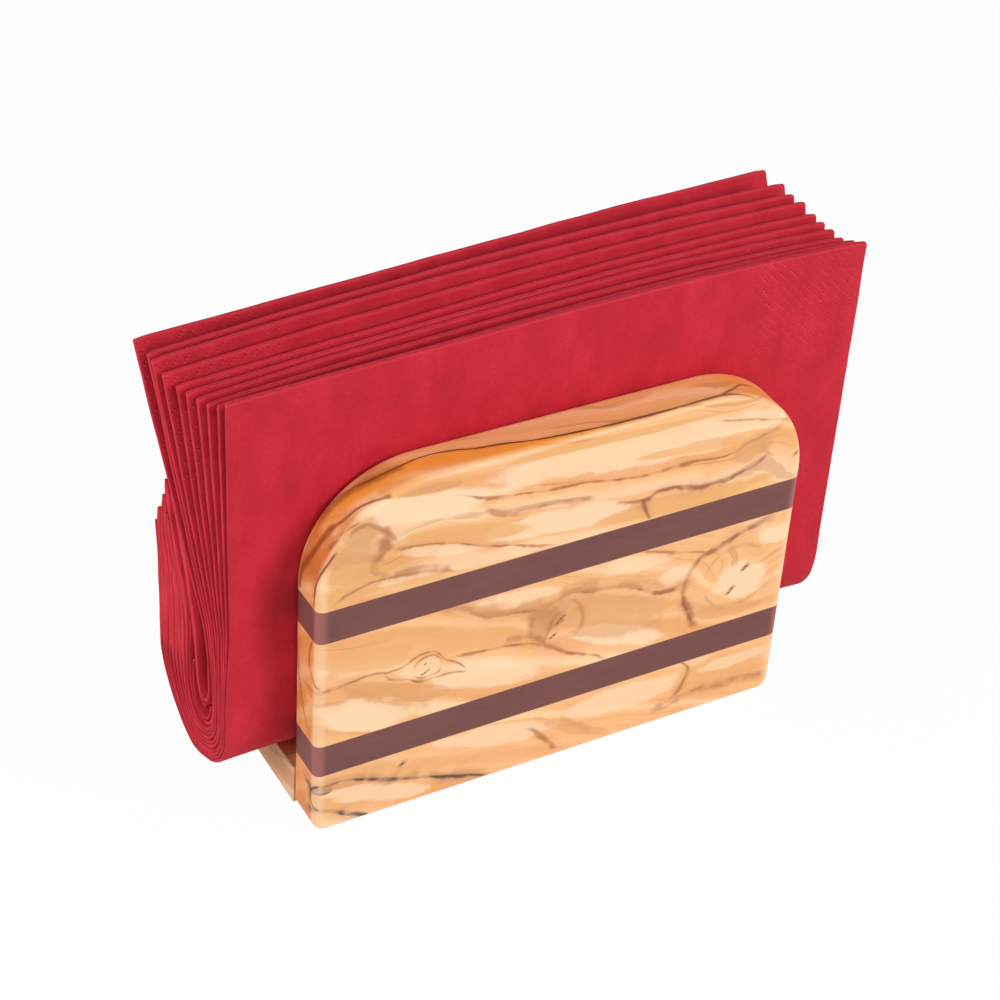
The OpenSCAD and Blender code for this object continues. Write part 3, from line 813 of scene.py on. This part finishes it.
def napkinTree():
    # turns the middle line of a napkin into a thick sheet with round edges
    tree = bpy.data.node_groups.new("foldedNapkin", "GeometryNodeTree")
    numbers = [(name, "Int" if isinstance(value, int) else "Float")
               for name, value in napkinForm.items()]
    for name, kind in [("Geometry", "Geometry"), *numbers, ("Material", "Material")]:
        tree.interface.new_socket(name, in_out="INPUT", socket_type="NodeSocket" + kind)
    tree.interface.new_socket("Geometry", in_out="OUTPUT", socket_type="NodeSocketGeometry")
    start = Wire(tree)
    given = start.node("NodeGroupInput").out
    line = start.node("GeometryNodeMeshToCurve", {}, {"Mesh": given("Geometry")})
    length = start.node("GeometryNodeCurveLength", {}, {"Curve": line}) * 1000
    columns, rows, steps = given("Columns"), given("Rows"), given("Rim Steps")
    grid = start.node("GeometryNodeMeshGrid", {}, {
        "Size X": 1.0, "Size Y": 1.0, "Vertices X": columns + 1, "Vertices Y": rows + 1})
    gridX, gridY, _ = start.node("GeometryNodeInputPosition").axes()

    def spacing(share, count, total, rim):
        # close rows round each rim, even ones between; also how full the edge is there
        index = share * count
        first = (index / steps).clip() * (math.pi / 2)
        final = ((index - count + steps) / steps).clip() * (math.pi / 2)
        middle = ((index - steps) / (count - steps * 2)).clip() * (total - rim * 2)
        place = rim * (1 - first.math("COSINE")) + middle + rim * final.math("SINE")
        return place, first.math("SINE") * final.math("COSINE")

    def noted(mesh, name, kind, value):
        return start.node("GeometryNodeStoreNamedAttribute", {"data_type": kind, "domain": "POINT"},
                          {"Geometry": mesh, "Name": name, "Value": value})

    def wobble(x, y, z, detail):
        return start.point(x, y, z).noise(detail) - 0.5

    # the ends of the short legs are pressed flat
    flat = 1 - (gridY + 0.5).rise(0.5, 0.66) * 0.5
    across, fullX = spacing(gridX + 0.5, columns, stack["width"], given("Rim") * flat)
    shareX, seed = across / stack["width"], given("Seed")
    bow = given("Bow") * 4 * shareX * (1 - shareX)
    lateBow = given("Late Bow") * 6.75 * shareX * shareX * (1 - shareX)
    # both top corners are round and the edge between them is not quite even
    corner = given("Corner")
    short = (1 - across.math("MINIMUM", stack["width"] - across) / corner).clip()
    rounding = corner * (1 - (1 - short * short).math("SQRT"))
    uneven = wobble(across / 17, seed * 4, 0.0, 2) * 0.4
    cut = given("Left Cut") + (given("Right Cut") - given("Left Cut")) * shareX
    cut = (cut - bow - lateBow + rounding + uneven).clip(0.1, 99.0)
    down, fullY = spacing(gridY + 0.5, rows, length - cut, given("Rim"))
    full = fullX * fullY
    sheetLine = start.node("GeometryNodeInputNamedAttribute", {"data_type": "FLOAT_VECTOR"},
                           {"Name": "edges"})
    sample = start.node("GeometryNodeSampleCurve", {"mode": "LENGTH", "data_type": "FLOAT_VECTOR"},
                        {"Curves": line, "Value": sheetLine, "Length": (down + cut) * 0.001})
    left, right, half = sample.out("Value").axes()
    _, lineY, lineZ = sample.out("Position").times(1000.0).axes()
    _, alongY, alongZ = sample.out("Tangent").axes()
    x = left + (right - left) * shareX + wobble(seed * 3, down / 22, 0.0, 2) * 0.7
    # the whole stack sways together, and each napkin a little by itself once it is free
    free = lineZ.rise(72, 122) * down.fall(70, 90)
    shared = wobble(x / 60, lineZ / 50, 4.0, 1) * given("Shared Sway")
    own = wobble(x / 42, lineZ / 34, seed * 7, 2) * given("Own Sway")
    y = lineY + shared * (free * 2.2 + 0.25) * down.fall(95, 120) + own * free * 2
    crinkle = wobble(x / 7, down / 7, seed * 5, 2) * given("Crinkle")
    # beyond the base board the bend sags under its own weight
    beyond = ((abs(x) - 64) / 18).clip(0.0, 1.2)
    bell = (lineY * lineY / -64).math("EXPONENT") * 0.83 + 0.17
    sag = given("Sag") * beyond * beyond * bell * lineZ.fall(11, 32)
    middle = start.point(x, y, lineZ + stack["lift"] - sag)
    outward = start.point(0.0, alongZ, alongY * -1)
    loose = given("Loose Left")
    fromLoose = across * loose + (stack["width"] - across) * (1 - loose)
    sides = []
    for sign in (1, -1):
        side = grid if sign == 1 else start.node("GeometryNodeFlipFaces", {}, {"Mesh": grid})
        side = noted(side, "sheet", "FLOAT_VECTOR", start.point(fromLoose, down, full * sign))
        side = noted(side, "tint", "FLOAT", seed)
        push = outward.times((half * full) * sign + crinkle)
        place = start.node("ShaderNodeVectorMath", {"operation": "ADD"}, {0: middle, 1: push})
        sides.append(start.node("GeometryNodeSetPosition", {},
                                {"Geometry": side, "Position": place.times(0.001)}))
    joined = start.node("GeometryNodeJoinGeometry", {}, {"Geometry": sides[0]})
    tree.links.new(sides[1].socket, joined.socket.node.inputs[0])
    welded = start.node("GeometryNodeMergeByDistance", {},
                        {"Geometry": joined, "Distance": 0.000004})
    smooth = start.node("GeometryNodeSetShadeSmooth", {},
                        {"Geometry": welded, "Shade Smooth": True})
    real = start.node("GeometryNodeRealizeInstances", {}, {"Geometry": smooth})
    done = start.node("GeometryNodeSetMaterial", {},
                      {"Geometry": real, "Material": given("Material")})
    start.node("NodeGroupOutput", {}, {"Geometry": done})
    return tree


tissue = {"name": "napkinTissue", "low": tone(176, 12, 34), "mid": tone(190, 20, 42),
          "high": tone(203, 32, 54), "deep": tone(140, 4, 22), "dotHighlight": tone(224, 84, 100),
          "topEdgeHighlight": tone(214, 44, 64), "dotBand": 34, "dotStep": 0.95, "rowStep": 1.9,
          "bump": 0.00010}


def tissueMaterial(look):
    made, start = newMaterial(look["name"])
    # how far from the loose side and from the top edge, and how near the rim
    note = start.node("ShaderNodeAttribute", {"attribute_name": "sheet"}, out="Vector")
    edge, down, full = note.axes()
    tint = start.node("ShaderNodeAttribute", {"attribute_name": "tint"}, out="Fac")
    x, y, z = placeOn(start)
    cloud = start.point(x / 6, y / 6 + tint, z / 12).noise(2)
    fluff = start.point(x * 1.3, y * 1.3, z * 1.3).noise(2, 0.6)
    weave = cloud * 0.6 + fluff * 0.4
    colour = weave.ramp([(0.32, look["low"]), (0.5, look["mid"]), (0.70, look["high"])])
    # short rows of pressed dots near the loose side, each one with painted shade inside and a
    # painted highlight on its lower rim
    drift = (start.point(edge / 6, down / 6, tint).noise(1) - 0.5) * 1.6
    step, row = look["dotStep"], look["rowStep"]
    where = edge.fall(look["dotBand"] - 5, look["dotBand"]) * (1 - down.rise(14, 40) * 0.8)
    where = where * abs(full).rise(0.97, 1.0) * (cloud.rise(0.30, 0.52) * 0.6 + 0.4)
    where = where * start.point(edge / 3, down / 3, tint).noise(1).rise(0.36, 0.50)
    for name, strength, shift in (("dotHighlight", 0.36, 0.34), ("deep", 0.7, 0.0)):
        a = (down - edge - shift) * 0.7071 + drift
        b = (edge + down - shift) * 0.7071 + drift * 0.6
        line = (b / row).math("FLOOR")
        dash = (a / (step * 6) + line * 0.37).math("FRACT")
        u = (a / step).math("FRACT") - 0.5
        v = ((b / row).math("FRACT") - 0.5) * (row / step)
        dot = (u * u + v * v).math("SQRT").fall(0.16, 0.44)
        pits = dot * dash.fall(0.64, 0.70) * where
        colour = colour.blend(pits * strength, look[name])
    # the cut top edges are fluffy; they get a painted highlight, as where they catch the light
    colour = colour.blend(down.fall(0.2, 0.9) * 0.5, look["topEdgeHighlight"])
    # painted shade: the layers of the folded sheet show as fine dark lines on its ends, in the gaps
    # between them
    rim = abs(full).fall(0.80, 0.99)
    wander = start.point(down / 9, tint * 3, edge / 2).noise(2)
    layer = abs((full * 1.5 + wander * 1.2).math("FRACT") - 0.5).fall(0.02, 0.22)
    layer = layer * rim * wander.rise(0.35, 0.6)
    colour = colour.blend(layer * 0.55, look["deep"])
    height = weave - pits * 0.5 - layer * 1.2
    shade(start, colour, 0.85 + (fluff - 0.5) * 0.1, height, look["bump"],
          {"IOR": 1.45, "Specular IOR Level": 0.5})
    return made


def lineLength(points):
    return sum(math.dist(p, q) for p, q in zip(points, points[1:]))


def lengthDownTo(points, height):
    # how far along the line the tall leg comes down to a height
    walked = 0
    for p, q in zip(points, points[1:]):
        if q[1] <= height:
            return walked + math.dist(p, q) * (p[1] - height) / (p[1] - q[1])
        walked += math.dist(p, q)
    return walked


def walkAlong(points):
    # each point of a line with the length of the line up to it
    walked = 0
    for i, (a, b) in enumerate(points):
        walked += math.dist(points[i - 1], points[i]) if i else 0
        yield a, b, walked


def nearTree(points):
    fine = evenSteps(points, 0.1)
    tree = KDTree(len(fine))
    for i, (a, b) in enumerate(fine):
        tree.insert((0, a, b), i)
    tree.balance()
    return tree


def halfThicknesses(points, near, k):
    # each napkin fills the room between its neighbours, up to what tissue of its kind puffs up to
    s = stack
    total, halves = lineLength(points), []
    lowest = min(range(len(points)), key=lambda i: points[i][1])
    for i, (a, b, walked) in enumerate(walkAlong(points)):
        if i <= lowest:
            sizes = (s["bendHalf"], s["half"], s["half"], s["topHalf"])
            most = between(b, (20, 33, 60, 104), sizes)
        else:
            puff = s["puffHalf"] if k < 8 else between(b, (32, 48, 60), (0.6, 1.1, 1.2))
            most = between(b, (24, 36), (s["bendHalf"], puff))
            most = between(total - walked, (0, 3), (min(most, s["tipHalf"]), most))
        room = [tree.find((0, a, b))[2] / 2 - s["gap"] for tree in near]
        if b < s["slotTop"]:
            room.append(halfSlot - s["wallGap"] - abs(a))
        halves.append(min(most, *room))
    for _ in range(3):
        threes = zip(halves[:1] + halves, halves, halves[1:] + halves[-1:])
        halves = [min(h, (p + h + q) / 3) for p, h, q in threes]
    return halves


def paperPiece(name, points, edges, choice):
    # edges holds the left side, the right side and half the thickness at each point
    mesh = bpy.data.meshes.new("line")
    mesh.from_pydata([(0, a * mm, b * mm) for a, b in points],
                     [(i, i + 1) for i in range(len(points) - 1)], [])
    mesh.attributes.new("edges", "FLOAT_VECTOR", "POINT").data.foreach_set("vector", edges)
    piece = bpy.data.objects.new(name, mesh)
    scene.collection.objects.link(piece)
    former = piece.modifiers.new("foldedNapkin", "NODES")
    former.node_group = paperTree
    for item in paperTree.interface.items_tree:
        if item.in_out == "INPUT" and item.name in choice:
            former[item.identifier] = choice[item.name]
    settle(piece)
    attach(piece, "napkin_stack")
    return piece


paperTree = napkinTree()
paperLook = tissueMaterial(tissue)
lines = [eased(evenSteps(napkinLine(k), 0.8), 7) for k in range(10)]
leaves = [eased(evenSteps(points, 0.5), 6) for points in stack["leaves"]]
trees = [nearTree(points) for points in lines]
leafTrees = [nearTree(points) for points in leaves]
for k, points in enumerate(lines):
    near = trees[max(0, k - 1):k] + trees[k + 1:k + 2] + (leafTrees if k > 7 else [])
    halves = halfThicknesses(points, near, k)
    # the tall leg's sides slant, above the height where the bend ends
    kink = lengthDownTo(points, stack["straight"])
    leftHeights = (stack["straight"], stack["waist"], stack["leftTop"][k])
    rightHeights = (stack["straight"], stack["rightTop"][k])
    edges = []
    for half, (a, b, walked) in zip(halves, walkAlong(points)):
        left = right = 0
        if walked < kink:
            left = between(b, leftHeights, (0, 1.2 - 0.3 * k, stack["leftShift"][k]))
            right = between(b, rightHeights, (0, stack["rightShift"][k]))
        edges += [stack["left"] + left, stack["right"] + right, half]
    choice = {**napkinForm, "Left Cut": lengthDownTo(points, stack["leftTop"][k]),
              "Right Cut": lengthDownTo(points, stack["rightTop"][k]),
              "Bow": stack["bow"][k], "Late Bow": stack["lateBow"][k],
              "Loose Left": float(stack["looseLeft"][k]), "Seed": float(k + 1),
              "Material": paperLook}
    napkin = paperPiece(f"folded_napkin_{k + 1}", points, edges, choice)
    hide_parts(f"napkin_{k + 1}")
    cutLength = lineLength(points) - (choice["Left Cut"] + choice["Right Cut"]) / 2
    round(cutLength * mm, 4)
    print(napkin.name, len(napkin.data.polygons), "faces,", round(cutLength, 1), "mm long,",
          "half", round(min(halves), 2), "to", round(max(halves), 2))

for k, points in enumerate(leaves):
    near = trees[8:] + leafTrees[:k] + leafTrees[k + 1:]
    edges = []
    for a, b in points:
        room = min(tree.find((0, a, b))[2] for tree in near) / 2 - stack["gap"]
        edges += [stack["left"] + stack["leafInset"], stack["right"] - stack["leafInset"],
                  min(stack["leafHalf"], room)]
    choice = {**napkinForm, "Rows": 110, "Rim": 0.2, "Seed": 20.0 + k, "Material": paperLook}
    leaf = paperPiece(f"inner_leaf_{k + 1}", points, edges, choice)
    # one leaf of the sheet is as wide as the folded napkin
    print(leaf.name, round(lineLength(points), 1), "mm long, half", round(min(edges[2::3]), 2))


# Floor, light and camera, in metres, watts and degrees.
studio = {
    "floorSize": 6.0, "floorDrop": 0.0002, "ambient": 0.26, "aim": (0, 0, 0.05),
    "lamps": (("keyLight", (0.80, -1.15, 0.85), 18.5, 0.8),
              ("sideLight", (-1.2, 0.02, 0.52), 11.5, 0.7)),
    "lens": 89.57, "sensor": 36.0, "clip": (0.01, 50), "eye": (-0.25375, -0.42267, 0.41624),
    "forward": (0.41586, 0.69310, -0.58879), "roll": 4.03,
}
white = (1, 1, 1, 1)


def whiteFloor():
    bm = bmesh.new()
    bmesh.ops.create_grid(bm, x_segments=1, y_segments=1, size=studio["floorSize"])
    floor = objectFrom("floor", bm)
    floor.location.z = -studio["floorDrop"]
    made, start = newMaterial("floorWhite")
    seen = start.node("ShaderNodeLightPath").out("Is Camera Ray")
    matt = start.node("ShaderNodeBsdfDiffuse", {}, {"Color": tone(246, 246, 246)})
    bright = start.node("ShaderNodeEmission", {}, {"Color": white, "Strength": 1.0})
    surface = start.node("ShaderNodeMixShader", {}, {0: seen * 0.96, 1: matt, 2: bright})
    start.node("ShaderNodeOutputMaterial", {}, {"Surface": surface})
    floor.data.materials.append(made)


def whiteWorld():
    world = bpy.data.worlds.new("studioWhite")
    world.use_nodes = True
    world.node_tree.nodes.clear()
    start = Wire(world.node_tree)
    ray = start.node("ShaderNodeLightPath").out
    seen = (ray("Is Camera Ray") + ray("Is Glossy Ray") + ray("Is Transmission Ray")).clip()
    soft, bright = [start.node("ShaderNodeBackground", {}, {"Color": white, "Strength": power})
                    for power in (studio["ambient"], 1.0)]
    surface = start.node("ShaderNodeMixShader", {}, {0: seen, 1: soft, 2: bright})
    start.node("ShaderNodeOutputWorld", {}, {"Surface": surface})
    scene.world = world


def softLamp(name, place, power, size):
    lamp = bpy.data.lights.new(name, "AREA")
    lamp.shape, lamp.size, lamp.energy = "DISK", size, power
    made = bpy.data.objects.new(name, lamp)
    made.location = place
    made.rotation_mode = "QUATERNION"
    made.rotation_quaternion = (Vector(studio["aim"]) - Vector(place)).to_track_quat("-Z", "Y")
    scene.collection.objects.link(made)


whiteFloor()
whiteWorld()
for lamp in studio["lamps"]:
    softLamp(*lamp)

lens = bpy.data.cameras.new("camera")
lens.lens, lens.sensor_width = studio["lens"], studio["sensor"]
lens.clip_start, lens.clip_end = studio["clip"]
forward = Vector(studio["forward"]).normalized()
level = forward.cross(Vector((0, 0, 1))).normalized()
above = level.cross(forward)
roll = math.radians(studio["roll"])
right = math.cos(roll) * level + math.sin(roll) * above
up = math.cos(roll) * above - math.sin(roll) * level
camera = bpy.data.objects.new("camera", lens)
camera.matrix_world = Matrix((right, up, -forward)).transposed().to_4x4()
camera.location = studio["eye"]
scene.collection.objects.link(camera)
scene.camera = camera
scene.view_settings.view_transform = "Standard"
print("studio ready")
